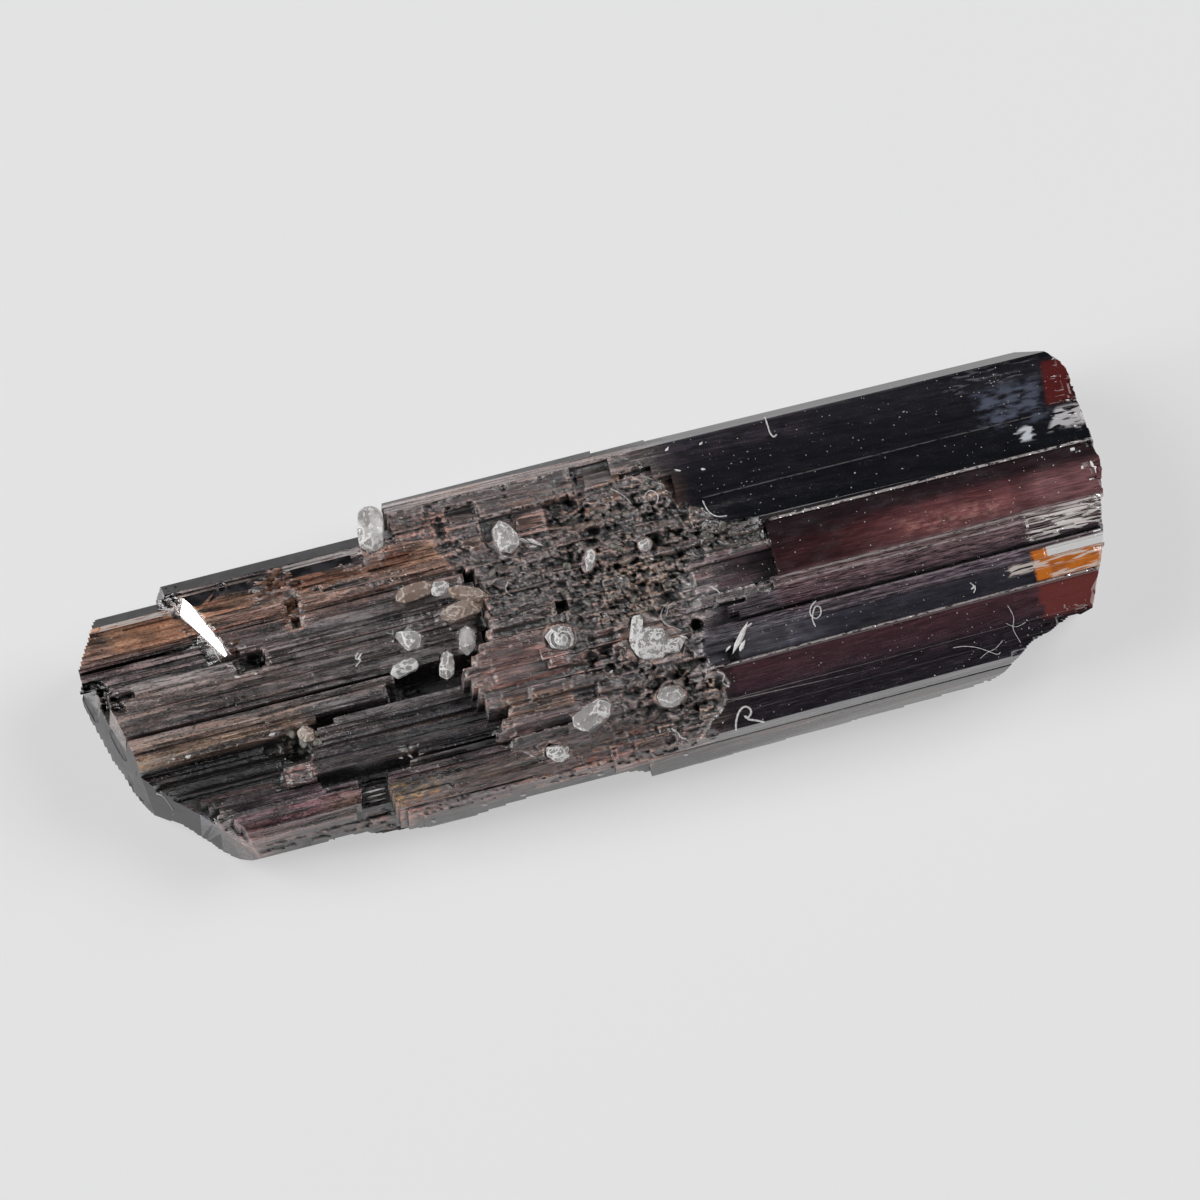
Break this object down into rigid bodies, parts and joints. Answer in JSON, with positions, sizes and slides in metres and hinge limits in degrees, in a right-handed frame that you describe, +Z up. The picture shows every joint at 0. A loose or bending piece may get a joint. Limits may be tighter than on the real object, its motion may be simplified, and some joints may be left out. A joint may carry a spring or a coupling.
{
  "type": "rutile crystal",
  "caption": "Loose striated rutile prism, stepped at one end and broken at the other, with small quartz crystals seated in it.",
  "frame": {"origin": "middle of the footprint, on the surface the crystal rests on", "axes": "+X along the crystal from the stepped end to the broken end, +Y across it to the back, +Z up"},
  "size_m": [0.02, 0.0064, 0.0034],
  "materials": {
    "rutile": "bright metallic to glassy lustre, near-black with deep red and orange where thin, striated along its length",
    "quartz": "clear, glassy, slightly etched",
    "smoky_quartz": "brownish, translucent, glassy"
  },
  "bodies": {
    "root": {"rutile_crystal": "rutile", "quartz_plate": "quartz", "quartz_oval": "quartz", "quartz_bead": "quartz", "quartz_chip_back": "quartz", "quartz_chip_mid": "quartz", "quartz_left_upper": "quartz", "quartz_left_lower": "quartz", "quartz_left_tall": "quartz", "quartz_glassy": "quartz", "quartz_curl": "quartz", "quartz_cluster": "quartz", "quartz_long": "quartz", "quartz_pale": "quartz", "quartz_front": "quartz", "smoky_point_left": "smoky_quartz", "smoky_point_upper": "smoky_quartz", "smoky_point_lower": "smoky_quartz", "quartz_bead_front": "smoky_quartz"}
  },
  "joints": []
}
